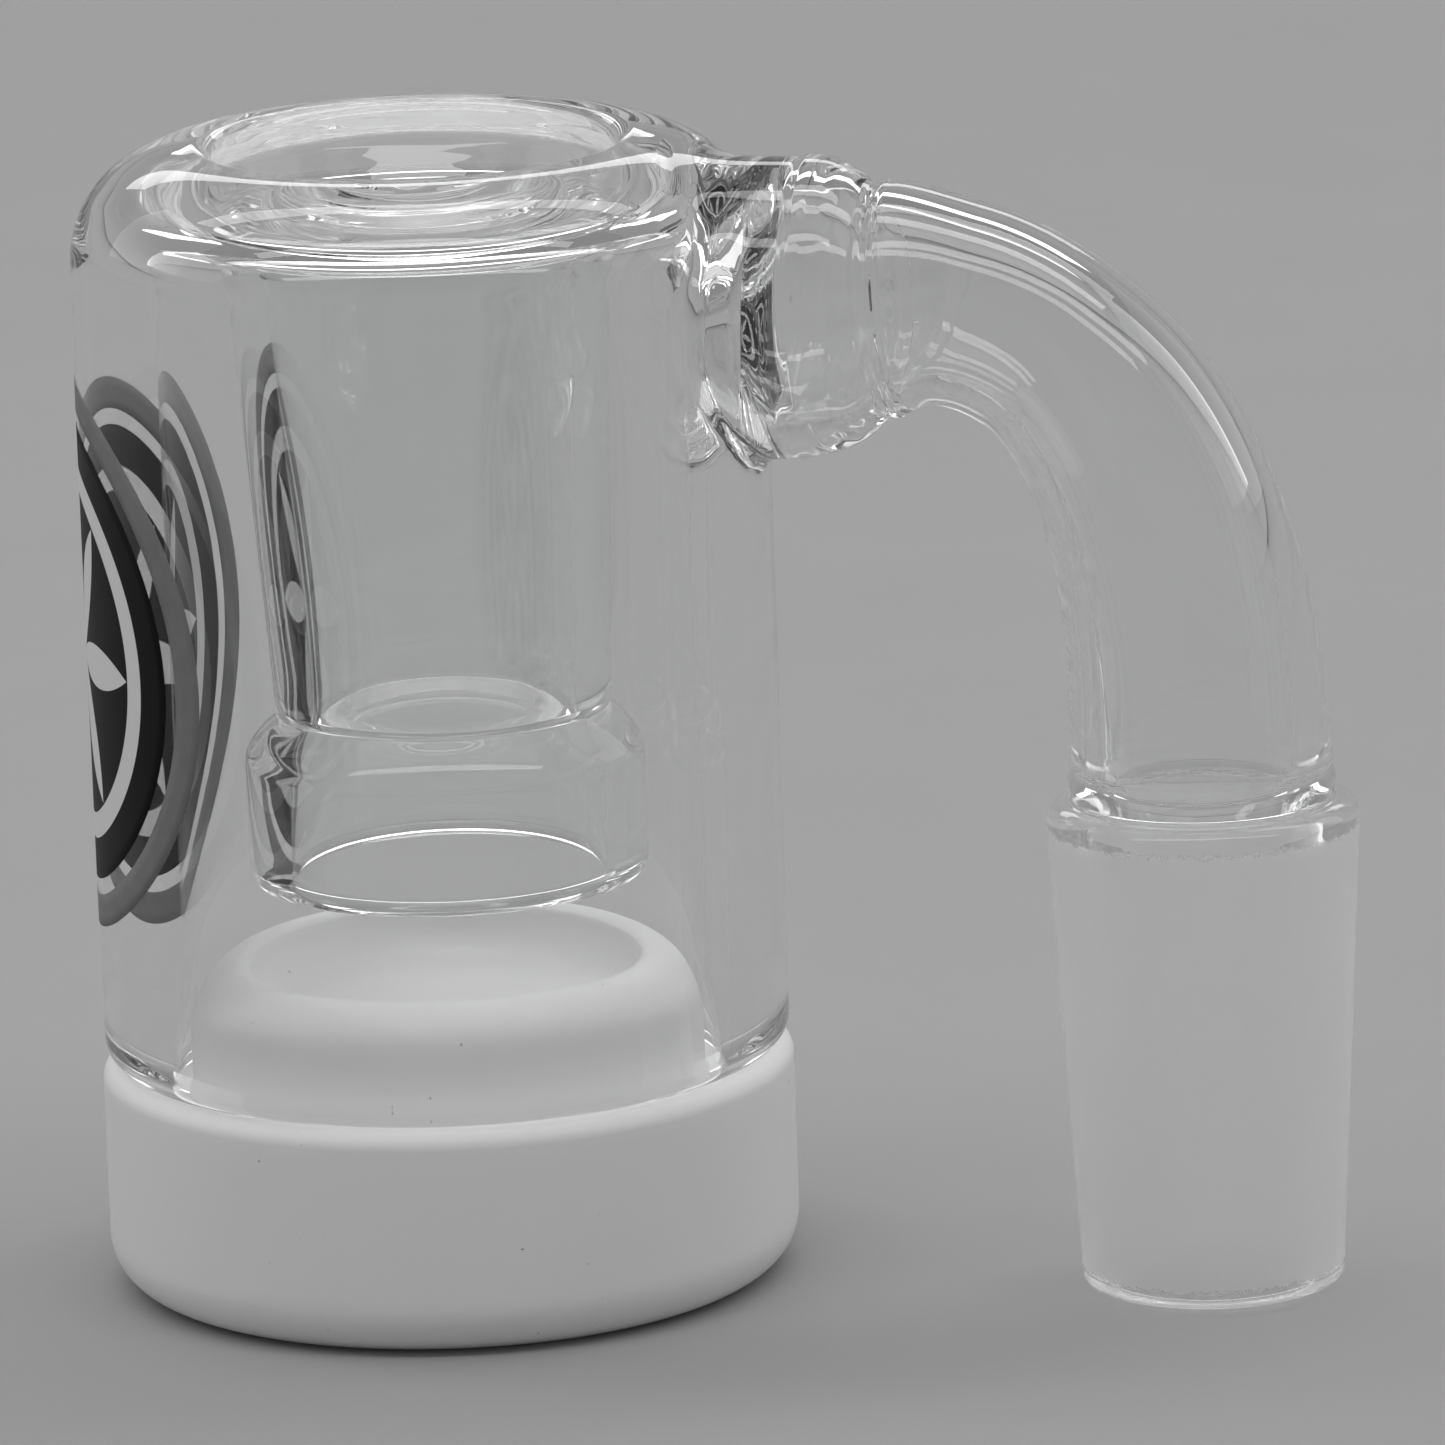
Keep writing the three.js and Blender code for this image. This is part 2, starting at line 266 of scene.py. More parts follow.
def makeGroundGlass():
    material, tree, shader = newMaterial("groundGlass")
    place = objectPlace(tree)
    axes = tree.nodes.new("ShaderNodeSeparateXYZ")
    tree.links.new(place, axes.inputs[0])
    wander = noiseNode(tree, place, groundGlass["raggedScale"], 4.0, 0.7)
    ragged = mathNode(tree, "MULTIPLY_ADD", wander, groundGlass["raggedRise"], axes.outputs["Z"])
    topFrom, topTo = [groundGlass["top"] + fade for fade in groundGlass["topFade"]]
    footFrom, footTo = [groundGlass["foot"] + fade for fade in groundGlass["footFade"]]
    underTop = rangeNode(tree, ragged, topFrom, topTo, 1, 0)
    overFoot = rangeNode(tree, ragged, footFrom, footTo, 0, 1)
    ground = mathNode(tree, "MULTIPLY", underTop, overFoot)
    grain = noiseNode(tree, place, groundGlass["grain"], 2.0, 0.6)
    mottled = rangeNode(tree, grain, 0.3, 0.7, 0.85, 1.15)
    rough = mathNode(tree, "MULTIPLY", mottled, groundGlass["roughness"])
    tree.links.new(mathNode(tree, "MULTIPLY", ground, rough), shader.inputs["Roughness"])
    cloud = mathNode(tree, "MULTIPLY", ground, groundGlass["cloud"])
    tree.links.new(mathNode(tree, "SUBTRACT", 1.0, cloud), shader.inputs["Transmission Weight"])
    shader.inputs["Base Color"].default_value = groundGlass["tint"]
    shader.inputs["IOR"].default_value = clearGlass["ior"]
    bumpNode(tree, shader, mathNode(tree, "MULTIPLY", grain, ground), 0.25, groundGlass["grainHeight"])
    letLampsThrough(tree, shader, clearGlass["lampShare"])
    return material


dishFinish = {
    "white": (0.88, 0.88, 0.88, 1),
    "roughness": (0.4, 0.52),
    "cloudScale": 320,
    "ior": 1.38,
    "milkiness": 0.15,       # share of light that goes a little way into the plastic
    "milkDepth": 0.001,
    "turningMarks": 0.000006,
    "marksPerMetre": (25, 25, 3500),
    "speckScale": 2600.0,
    "speckGrey": (0.45, 0.45, 0.44, 1),
}


def makeDishWhite():
    material, tree, shader = newMaterial("dishWhite")
    place = objectPlace(tree)
    specks = rangeNode(tree, noiseNode(tree, place, dishFinish["speckScale"], 1.0), 0.79, 0.83, 0, 1)
    mix = tree.nodes.new("ShaderNodeMix")
    mix.data_type = "RGBA"
    mix.inputs["A"].default_value = dishFinish["white"]
    mix.inputs["B"].default_value = dishFinish["speckGrey"]
    tree.links.new(specks, mix.inputs["Factor"])
    tree.links.new(mix.outputs["Result"], shader.inputs["Base Color"])
    cloud = noiseNode(tree, place, dishFinish["cloudScale"], 4.0)
    low, high = dishFinish["roughness"]
    tree.links.new(rangeNode(tree, cloud, 0.3, 0.7, low, high), shader.inputs["Roughness"])
    shader.inputs["IOR"].default_value = dishFinish["ior"]
    shader.inputs["Subsurface Weight"].default_value = dishFinish["milkiness"]
    shader.inputs["Subsurface Radius"].default_value = (1, 1, 1)
    shader.inputs["Subsurface Scale"].default_value = dishFinish["milkDepth"]
    marks = noiseNode(tree, stretched(tree, place, dishFinish["marksPerMetre"]), 1.0, 2.0)
    bumpNode(tree, shader, marks, 0.5, dishFinish["turningMarks"])
    return material


dish = {
    "sides": 224,
    "footRound": 2.6,
    "ledgeRound": 0.8,
    "plugRadius": 11.85,
    "plugFillet": 0.2,       # where the plug meets the ledge
    "plugLip": 2.0,
    "recessRadius": 9.2,
    "recessDepth": 2.2,
    "bowlShare": 0.8,        # how much of the recess's depth is rounded
    "lipFall": 0.25,         # the lip drops this much before the recess starts
    "seatGap": 0.05,         # left under the glass
    "hub": 0.02,             # radius of the tiny disc that closes each end
}


def dishOutline():
    radius, topZ = dishHigh.y, dishHigh.z
    ledgeZ = jarLow.z - dish["seatGap"]
    foot, ledge, lip, fillet = dish["footRound"], dish["ledgeRound"], dish["plugLip"], dish["plugFillet"]
    bowl = dish["recessDepth"] * dish["bowlShare"]
    floorZ = topZ - dish["recessDepth"]
    plug, rim = dish["plugRadius"], dish["recessRadius"]
    outline = [(dish["hub"], 0)]
    outline += straight((1, 0), (radius - foot, 0), 1.5)
    outline += arc((radius - foot, foot), foot, -90, 0)
    outline += straight((radius, foot + 0.3), (radius, ledgeZ - ledge))
    outline += arc((radius - ledge, ledgeZ - ledge), ledge, 0, 90, 0.1)
    outline += straight((radius - ledge - 0.2, ledgeZ), (plug + 0.25, ledgeZ))
    outline += arc((plug + fillet, ledgeZ + fillet), fillet, -90, -180, 0.1)
    outline += straight((plug, ledgeZ + 0.4), (plug, topZ - lip))
    outline += arc((plug - lip, topZ - lip), lip, 0, 80)
    outline += eased((plug - lip, topZ), (rim, topZ - dish["lipFall"]), (-0.5, 0), (-0.25, -0.4), 4)
    outline += arc((rim - bowl, floorZ + bowl), bowl, -4, -90)
    outline += straight((rim - bowl - 0.4, floorZ), (0.6, floorZ), 1.0)
    outline += [(dish["hub"], floorZ)]
    return outline


def makeDish(finish):
    skin = Skin()
    rings = [skin.ring(around(r, z, dish["sides"])) for r, z in dishOutline()]
    for lower, upper in zip(rings, rings[1:]):
        skin.join(lower, upper)
    skin.faces += [tuple(rings[0]), tuple(rings[-1])]
    skin.finishes += [0, 0]
    piece = skin.piece("whiteDish", [finish])
    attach(piece, "dish")
    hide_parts("white_dish")


# The glass is one fused body, so it is drawn as one closed skin.
jar = {
    "sides": 240,
    "wall": 3.8,
    "footRound": 1.25,       # fire-polished outer edge at the bottom
    "footInnerRound": 0.5,
    "boreFlare": (3.8, 0.35),   # the bore opens a little at the bottom: height, then growth in radius
    "shoulder": 5.3,
    "grooveRound": 1.3,      # inner side of the groove under the mouth
    "lip": 1.0,
    "lipInset": 0.55,        # the lip's centre, inwards from the shoulder's
    "funnelSlope": ((9.0, 2.0), (7.8, 3.6)),   # radius and depth below the crest at both ends
    "throatDrop": 5.3,       # where the funnel has become the socket, below the crest
    "socketWall": 1.8,
    "taper": 1 / 20,         # on radius, for the socket and the cone alike
    "skirtWall": 2.0,
    "skirtSwell": 2.2,       # height over which the waist swells out to the skirt
    "crease": 0.15,          # depth of the line where the skirt meets the tube
    "windowCells": 50,       # cells each way in the patches where the arm joins
    "outerWindow": (-13.5, 8.0),   # reach of those patches below and above the shoulder's start
    "boreWindow": (-10.0, 1.0),
    "windowRings": 12,       # rings between a patch's square edge and the arm's round one
    "ripple": 0.02,          # marks of the tools round the mouth
    "lean": 0.4,             # the inner tube stands this far off the axis at its foot
}

arm = {
    "port": 3.4,             # radius of the hole through the jar's wall
    "portDrop": 0.6,         # how far the hole sits below the collar's axis
    "portFillet": (1.2, 1.3),   # rounding of the hole's edge, round it and along it
    "fillet": (1.0, 2.2),    # rounding outside the seam, underneath and on top
    "seamX": 15.6,           # the rounding ends no nearer to the jar's axis than this
    "seamRings": 8,
    "slideRings": 5,
    "flatX": 18.4,           # from here on the collar's rings are flat
    "seamFold": 0.05,
    "foldShare": 0.4,        # how much of that fold the necked end has
    "neckX": 21.6,
    "collarWave": 0.06,
    "waveFineness": 0.35,
    "collarOuter": [(16, 7.0), (18.4, 7.0), (19.8, 6.8), (20.8, 6.35),
                    (21.4, 5.8), (21.8, 5.45), (22.4, 5.5)],
    "collarOuterStep": 0.2,
    "collarBoreX": 14.0,
    "collarBore": [(13.6, 3.4), (15, 4.3), (16.5, 5.2), (18, 5.5),
                   (19.8, 5.4), (21, 4.7), (21.8, 4.2), (22.4, 4.3)],
    "collarBoreStep": 0.35,
    "tilt": 0.087,           # radians, the arm leaves the collar slightly upwards
    "start": (22.4, 46.8),   # the bend's four control points
    "level": (27.0, 47.2),
    "drop": (36.2, 44.2),
    "end": (36.2, 25.3),
    "bendRings": 80,
    "pinch": (0.1, 0.03),    # the groove where the tube meets the collar: depth, then length
    "outer": [(0, 5.6), (0.2, 4.8), (0.4, 4.7), (0.6, 5.1), (0.8, 5.6), (1, 6.1)],
    "wallKnots": [(0, 1.25), (0.75, 1.3), (1, 1.75)],
    "beadSunk": 0.08,        # the bead's crest, inside its box
    "beadBore": 4.15,
    "coneWall": 1.8,
    "coneShoulder": 0.9,
    "coneEdge": 0.4,
}

jarRadius = jarHigh.y
boreRadius = jarRadius - jar["wall"]
shoulderZ = crestZ - jar["shoulder"]
shoulderCentre = jarRadius - jar["shoulder"]
underShoulder = jar["shoulder"] - jar["wall"]
collarZ = (collarLow.z + collarHigh.z) / 2
collarRadius = (collarHigh.z - collarLow.z) / 2
coneX = (coneLow.x + coneHigh.x) / 2
coneRadius = coneHigh.y
coneFootRadius = coneRadius - (coneHigh.z - coneLow.z) * jar["taper"]
waistBore = coneFootRadius   # the socket takes the same cone as the arm ends in


def outerSkin(s):  # outline of the jar's outside, s is the distance above the start of the shoulder
    if s <= 0:
        return jarRadius, shoulderZ + s
    turn = s / jar["shoulder"]
    return shoulderCentre + jar["shoulder"] * math.cos(turn), shoulderZ + jar["shoulder"] * math.sin(turn)


def boreSkin(s):  # outline of the jar's bore, measured the same way
    if s <= 0:
        return boreRadius, shoulderZ + s
    turn = s / underShoulder
    return shoulderCentre + underShoulder * math.cos(turn), shoulderZ + underShoulder * math.sin(turn)


def windowRows(skinAt, window):
    low, high = window
    cells = jar["windowCells"]
    return [skinAt(low + (high - low) * i / cells) for i in range(cells + 1)]


def socketBore(z):
    return waistBore + (z - waistZ) * jar["taper"]


def glassOutline():
    footZ = jarLow.z
    foot, inner = jar["footRound"], jar["footInnerRound"]
    low, high = jar["outerWindow"]
    outline = arc((jarRadius - foot, footZ + foot), foot, -90, 0, 0.2)
    outline += straight((jarRadius, footZ + foot + 0.4), (jarRadius, shoulderZ + low))
    outerFirst = len(outline)
    outline += windowRows(outerSkin, jar["outerWindow"])
    # the rolled mouth and the socket's bore
    lipCentre = (shoulderCentre - jar["lipInset"], crestZ - jar["lip"])
    topTurn = math.degrees(high / jar["shoulder"])
    outline += arc((shoulderCentre, shoulderZ), jar["shoulder"], topTurn + 2, 90, 0.2)
    outline += arc(lipCentre, jar["lip"], 90, 165, 0.12)
    lipEnd = outline[-1]
    slopeTop, slopeFoot = [(r, crestZ - drop) for r, drop in jar["funnelSlope"]]
    outline += eased(lipEnd, slopeTop, (-0.3, -1.2), (-0.8, -1.0), 10)[1:]
    outline += straight(slopeTop, slopeFoot, 0.2)[1:]
    throatZ = crestZ - jar["throatDrop"]
    outline += eased(slopeFoot, (socketBore(throatZ), throatZ), (-0.6, -0.75), (-0.08, -1.2), 8)
    outline += straight((socketBore(throatZ - 0.5), throatZ - 0.5), (waistBore + 0.04, waistZ + 1.1))
    # the waist ridge and the skirt
    skirtOuter, skirtTopZ = skirtHigh.y, skirtHigh.z
    skirtInner = skirtOuter - jar["skirtWall"]
    edge = jar["skirtWall"] / 2
    swell = jar["skirtSwell"]
    outline += eased((waistBore, waistZ), (skirtInner, waistZ - swell - 0.6), (0, -1.6), (0, -2.0), 16)
    outline += straight((skirtInner, waistZ - swell - 1), (skirtInner, skirtLow.z + edge))
    outline += arc((skirtOuter - edge, skirtLow.z + edge), edge, -180, 0, 0.15)
    outline += straight((skirtOuter, skirtLow.z + edge + 0.4), (skirtOuter, skirtTopZ - swell - 0.4))
    waistOuter = waistBore + jar["socketWall"]
    crease = (waistOuter - jar["crease"], skirtTopZ)
    outline += eased((skirtOuter, skirtTopZ - swell), crease, (0, 2.6), (-1.2, 1.2), 14)
    outline += eased(crease, (waistOuter, skirtTopZ + 0.9), (0.15, 0.5), (0.02, 0.6), 6)[1:]
    # up the socket's outside, round the groove and down the jar's bore
    groove = jar["grooveRound"]
    ceilingZ = shoulderZ + underShoulder
    grooveZ = ceilingZ - groove
    socketOuter = socketBore(grooveZ) + jar["socketWall"]
    outline += straight((waistOuter + 0.02, skirtTopZ + 1.4), (socketOuter, grooveZ))
    outline += arc((socketOuter + groove, grooveZ), groove, 180, 90, 0.2)
    low, high = jar["boreWindow"]
    boreTurn = math.degrees(high / underShoulder)
    outline += arc((shoulderCentre, shoulderZ), underShoulder, 90, boreTurn + 4, 0.15)
    boreFirst = len(outline)
    outline += list(reversed(windowRows(boreSkin, jar["boreWindow"])))
    flareHeight, flare = jar["boreFlare"]
    outline += straight((boreRadius, shoulderZ + low - 0.4), (boreRadius, footZ + flareHeight + 0.2))
    outline += straight((boreRadius + 0.04, footZ + flareHeight), (boreRadius + flare, footZ + inner), 0.4)
    outline += arc((boreRadius + flare + inner, footZ + inner), inner, 180, 270, 0.15)
    outline += straight((boreRadius + flare + inner + 0.3, footZ), (jarRadius - foot - 0.1, footZ), 0.5)
    return outline, outerFirst, boreFirst


def mouthRipple(radius, angle, z):  # fine lines that run round the shoulder, mostly at the back
    if z < shoulderZ + 1:
        return 0
    rise = min(1, (z - shoulderZ - 1) / 2)
    sweep = noise.noise(Vector((radius * 2.2, math.cos(angle) * 2.0, math.sin(angle) * 2.0 + z * 2.4)))
    return jar["ripple"] * rise * sweep


def tubeLean(radius, z):
    if radius > boreRadius - 1 or z > shoulderZ:
        return 0
    drop = min(1, (shoulderZ - z) / (shoulderZ - waistZ))
    return jar["lean"] * drop * drop * (3 - 2 * drop)


def windowRing(rings, topRow, bottomRow, half):
    count = len(rings[0])
    step = 1 if bottomRow > topRow else -1
    rows = list(range(topRow, bottomRow + step, step))
    walk = [(topRow, c) for c in range(0, half)]
    walk += [(r, half) for r in rows[:-1]]
    walk += [(bottomRow, c) for c in range(half, -half, -1)]
    walk += [(r, -half) for r in reversed(rows[1:])]
    walk += [(topRow, c) for c in range(-half, 0)]
    return [rings[r][c % count] for r, c in walk], walk


def onJar(skinAt, s, width):  # a point on the jar, width is the distance round from the arm's side
    radius, z = skinAt(s)
    angle = width / radius
    return Vector((radius * math.cos(angle), radius * math.sin(angle), z))


def holeEdge(skinAt, centreZ, radius, turn, extra):  # where a tube along +X meets the jar, in (s, width)
    z = centreZ + radius * math.cos(turn)
    s = z - shoulderZ
    if s > 0:
        curve = jar["shoulder"] if skinAt is outerSkin else underShoulder
        s = curve * math.asin(min(1, s / curve))
    local = skinAt(s)[0]
    width = local * math.asin(radius * math.sin(turn) / local)
    return s + extra * math.cos(turn), width + extra * math.sin(turn)


def armRoute():
    corners = [Vector((x, 0, z)) for x, z in (arm["start"], arm["level"], arm["drop"], arm["end"])]
    frames = []
    for i in range(arm["bendRings"] + 1):
        t = i / arm["bendRings"]
        middle = ((1-t)**3 * corners[0] + 3*t*(1-t)**2 * corners[1]
                  + 3*t*t*(1-t) * corners[2] + t**3 * corners[3])
        heading = ((1-t)**2 * (corners[1] - corners[0]) + 2*t*(1-t) * (corners[2] - corners[1])
                   + t*t * (corners[3] - corners[2])).normalized()
        frames.append((t, middle, heading))
    return frames


def tubeRing(middle, heading, radii):
    up = Vector((-heading.z, 0, heading.x))
    side = Vector((0, 1, 0))
    points = []
    count = len(radii)
    for k, radius in enumerate(radii):
        turn = 2 * math.pi * k / count
        points.append(middle + up * radius * math.cos(turn) + side * radius * math.sin(turn))
    return points


def folded(point, amount, fineness):  # irregular folds left where hot glass was joined
    spot = point * fineness
    return amount * (noise.noise(spot) + 0.5 * noise.noise(spot * 2.3 + Vector((7, 3, 1))))


def collarFrame(x):
    share = smoothThrough([(17, 0), (arm["start"][0], 1)], x)
    lift = (arm["start"][1] - collarZ) * share
    tilt = arm["tilt"] * share
    return Vector((x, 0, collarZ + lift)), Vector((math.cos(tilt), 0, math.sin(tilt)))


def closeWindow(skin, last, walk, edges, skinAt, ends):  # from a patch's square edge to a round one
    firstS, lastS = ends
    firstRow = min(row for row, column in walk)
    step = 2 * math.pi / jar["sides"]
    for i in range(1, jar["windowRings"] + 1):
        share = i / jar["windowRings"]
        points = []
        for (row, column), (s, width) in zip(walk, edges):
            fromS = firstS + (lastS - firstS) * (row - firstRow) / jar["windowCells"]
            angle = column * step + (width / skinAt(s)[0] - column * step) * share
            radius, z = skinAt(fromS + (s - fromS) * share)
            points.append(Vector((radius * math.cos(angle), radius * math.sin(angle), z)))
        last = skin.grow(last, points)
    return last


def curved(starts, corners, ends, t):  # one ring of a rounded edge
    return [(1-t)**2 * a + 2*t*(1-t) * b + t*t * c for a, b, c in zip(starts, corners, ends)]


def drawCollarOutside(skin, rings, first, turns):
    cells = jar["windowCells"]
    window, walk = windowRing(rings, first + cells, first, cells // 2)
    under, over = arm["fillet"]
    fillets = [under + (over - under) * (0.5 + 0.5 * math.cos(t)) ** 2 for t in turns]
    edges = [holeEdge(outerSkin, collarZ, collarRadius, t, fillet) for t, fillet in zip(turns, fillets)]
    last = closeWindow(skin, window, walk, edges, outerSkin, jar["outerWindow"])
    starts = [skin.points[i] for i in last]
    corners = [onJar(outerSkin, *holeEdge(outerSkin, collarZ, collarRadius, t, 0)) for t in turns]
    ends = [Vector((max(c.x + fillet, arm["seamX"]), c.y, c.z)) for c, fillet in zip(corners, fillets)]
    for i in range(1, arm["seamRings"] + 1):
        t = i / arm["seamRings"]
        points = []
        for point in curved(starts, corners, ends, t):
            outward = Vector((0.5, point.y / 8, (point.z - collarZ) / 8))
            points.append(point + outward * folded(point, arm["seamFold"] * math.sin(math.pi * t), 0.5))
        last = skin.grow(last, points)
    # rings slide from the seam's saddle to flat sections
    flatX = arm["flatX"]
    for i in range(1, arm["slideRings"] + 1):
        t = i / arm["slideRings"]
        last = skin.grow(last, [Vector((a.x + (flatX - a.x) * t, a.y, a.z)) for a in ends])
    x = flatX
    while x < arm["start"][0] - arm["collarOuterStep"]:
        x += arm["collarOuterStep"]
        middle, heading = collarFrame(x)
        radius = smoothThrough(arm["collarOuter"], x)
        radii = []
        for t in turns:
            spot = Vector((x, 6 * math.sin(t), 6 * math.cos(t)))
            swell = arm["collarWave"] + arm["seamFold"] * arm["foldShare"] * bump(x - arm["neckX"], 0.6)
            radii.append(radius + folded(spot, swell * min(1, (x - flatX) / 1.5), arm["waveFineness"]))
        last = skin.grow(last, tubeRing(middle, heading, radii))
    return last


def drawCollarBore(skin, rings, first, turns):
    cells = jar["windowCells"]
    low, high = jar["boreWindow"]
    window, walk = windowRing(rings, first, first + cells, cells // 2)
    roundIt, alongIt = arm["portFillet"]
    portZ = collarZ - arm["portDrop"]
    edges = [holeEdge(boreSkin, portZ, arm["port"], t, roundIt) for t in turns]
    last = closeWindow(skin, window, walk, edges, boreSkin, (high, low))
    starts = [skin.points[i] for i in last]
    corners = [onJar(boreSkin, *holeEdge(boreSkin, portZ, arm["port"], t, 0)) for t in turns]
    ends = [Vector((c.x + alongIt, c.y, c.z)) for c in corners]
    for i in range(1, arm["slideRings"] + 1):
        last = skin.grow(last, curved(starts, corners, ends, i / arm["slideRings"]))
    x = arm["collarBoreX"]
    while x < arm["start"][0] - 0.3:
        middle, heading = collarFrame(x)
        middle.z -= arm["portDrop"] * (1 - smoothThrough([(13, 0), (18, 1)], x))
        radius = smoothThrough(arm["collarBore"], x)
        last = skin.grow(last, tubeRing(middle, heading, [radius] * len(turns)))
        x += arm["collarBoreStep"]
    return last


def coneOutside():
    top, foot, edge = coneHigh.z, coneLow.z, arm["coneEdge"]
    shoulder = arm["coneShoulder"]
    beadMiddle = (beadLow.z + beadHigh.z) / 2
    endRadius = arm["outer"][-1][1]
    bead = beadHigh.y - arm["beadSunk"]
    outline = eased((endRadius, arm["end"][1] - 0.1), (bead, beadMiddle), (0, -0.4), (0, -0.5), 5)
    outline += eased((bead - 0.01, beadMiddle - 0.2), (bead - 0.12, top + 0.2), (0, -0.4), (-0.05, -0.2), 4)
    outline += [(bead - 0.08, top + 0.1), (bead + 0.02, top + 0.02)]
    outline += arc((coneRadius - shoulder, top - shoulder), shoulder, 88, 3, 0.12)
    outline += straight((coneRadius, top - shoulder - 0.2), (coneFootRadius, foot + edge), 0.35)
    outline += arc((coneFootRadius - edge, foot + edge), edge, 0, -90, 0.08)
    return outline


def coneInside():
    top, foot, edge = coneHigh.z, coneLow.z, arm["coneEdge"]
    wall = arm["coneWall"]
    endBore = arm["outer"][-1][1] - arm["wallKnots"][-1][1]
    outline = eased((endBore, arm["end"][1]), (arm["beadBore"], top + 0.9), (0, -0.6), (-0.1, -0.3), 5)
    outline += eased((arm["beadBore"], top + 0.7), (coneRadius - wall, top - 2), (0.5, -0.8), (0, -1.6), 12)
    outline += straight((coneRadius - wall, top - 2.4), (coneFootRadius - wall, foot + edge), 0.4)
    outline += arc((coneFootRadius - wall + edge, foot + edge), edge, 180, 270, 0.08)
    return outline


def drawJar(skin):  # everything turned about the jar's axis, with two patches left open for the arm
    outline, outerFirst, boreFirst = glassOutline()
    cells = jar["windowCells"]
    sides = jar["sides"]
    rings = []
    for r, z in outline:
        points = []
        for x, y, height in around(r, z, sides):
            grow = 1 + mouthRipple(r, math.atan2(y, x), z) / r
            points.append((x * grow + tubeLean(r, z), y * grow, height))
        rings.append(skin.ring(points))
    skipped = [k % sides for k in range(-(cells // 2), cells // 2)]
    for i in range(len(rings)):
        inWindow = outerFirst <= i < outerFirst + cells or boreFirst <= i < boreFirst + cells
        skin.join(rings[i], rings[(i + 1) % len(rings)], 0, skipped if inWindow else ())
    return rings, outerFirst, boreFirst


def makeGlass(clear, ground):
    skin = Skin()
    rings, outerFirst, boreFirst = drawJar(skin)
    count = 4 * jar["windowCells"]
    turns = [2 * math.pi * k / count for k in range(count)]
    down = Vector((0, 0, -1))

    # outside of the collar, the bend, the bead and the cone
    last = drawCollarOutside(skin, rings, outerFirst, turns)
    pinchDepth, pinchLength = arm["pinch"]
    for share, middle, heading in armRoute():
        radius = smoothThrough(arm["outer"], share) - pinchDepth * bump(share, pinchLength)
        last = skin.grow(last, tubeRing(middle, heading, [radius] * count))
    for radius, z in coneOutside():
        finish = 1 if z < coneHigh.z - 0.2 else 0
        last = skin.grow(last, tubeRing(Vector((coneX, 0, z)), down, [radius] * count), finish)
    footRing = last

    # the bore, from the jar's inner wall to the cone's foot
    last = drawCollarBore(skin, rings, boreFirst, turns)
    for share, middle, heading in armRoute():
        radius = smoothThrough(arm["outer"], share) - smoothThrough(arm["wallKnots"], share)
        last = skin.grow(last, tubeRing(middle, heading, [radius] * count))
    for radius, z in coneInside()[1:]:
        last = skin.grow(last, tubeRing(Vector((coneX, 0, z)), down, [radius] * count))
    skin.join(last, footRing)

    piece = skin.piece("glassBody", [clear, ground])
    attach(piece, "glass")
    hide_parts("outer_jar", "rolled_mouth", "socket_tube", "flared_skirt",
                "arm_collar", "bent_arm", "weld_bead", "ground_cone")


badge = {
    "turn": 195.0,           # degrees from the arm's side round to the middle
    "band": 1.5,
    "disc": 10.7,
    "sides": 200,
    "hub": 0.02,             # radius of the disc's smallest ring
    "sunk": 0.02,            # the ink sits in the skin of the glass
    "proud": 0.03,
    "grey": 0.22,
    "black": 0.008,
    "white": 0.8,
    "roughness": 0.5,
    "ior": 1.2,
    "wearScale": 900,
    "whiteRing": (7.6, 8.8),
    "petal": 7.5,            # radius of the arcs that draw the petals
}
badgeZ = (ringLow.z + ringHigh.z) / 2
badgeRadius = (ringHigh.z - ringLow.z) / 2


def badgeFilm(name, inner, outer, finish):
    skin = Skin()
    middle = math.radians(badge["turn"])
    count = badge["sides"]
    steps = max(2, round((outer - inner) / 0.5))
    reach = [inner + (outer - inner) * i / steps for i in range(steps + 1)]
    front = [(r, jarRadius + badge["proud"]) for r in reach]
    back = [(r, jarRadius - badge["sunk"]) for r in reversed(reach)]
    rings = []
    for radius, depth in front + back:
        points = []
        for k in range(count):
            a = 2 * math.pi * k / count
            turn = middle + max(radius, badge["hub"]) * math.cos(a) / jarRadius
            height = badgeZ + max(radius, badge["hub"]) * math.sin(a)
            points.append((depth * math.cos(turn), depth * math.sin(turn), height))
        rings.append(skin.ring(points))
    for a, b in zip(rings, rings[1:]):
        skin.join(a, b)
    if inner > 0:
        skin.join(rings[-1], rings[0])
    else:
        skin.faces += [tuple(rings[0]), tuple(rings[-1])]
        skin.finishes += [0, 0]
    piece = skin.piece(name, [finish])
    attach(piece, "glass")
    return piece


def makeInk(name, brightness):
    material, tree, shader = newMaterial(name)
    place = objectPlace(tree)
    worn = rangeNode(tree, noiseNode(tree, place, badge["wearScale"], 3.0), 0.3, 0.7, 0.92, 1.06)
    shade = mathNode(tree, "MULTIPLY", worn, brightness)
    tree.links.new(shade, shader.inputs["Base Color"])
    shader.inputs["Roughness"].default_value = badge["roughness"]
    shader.inputs["IOR"].default_value = badge["ior"]
    return material, tree, shader, shade


def lengthNode(tree, across, up):
    squares = mathNode(tree, "MULTIPLY_ADD", across, across, mathNode(tree, "MULTIPLY", up, up))
    return mathNode(tree, "SQRT", squares)


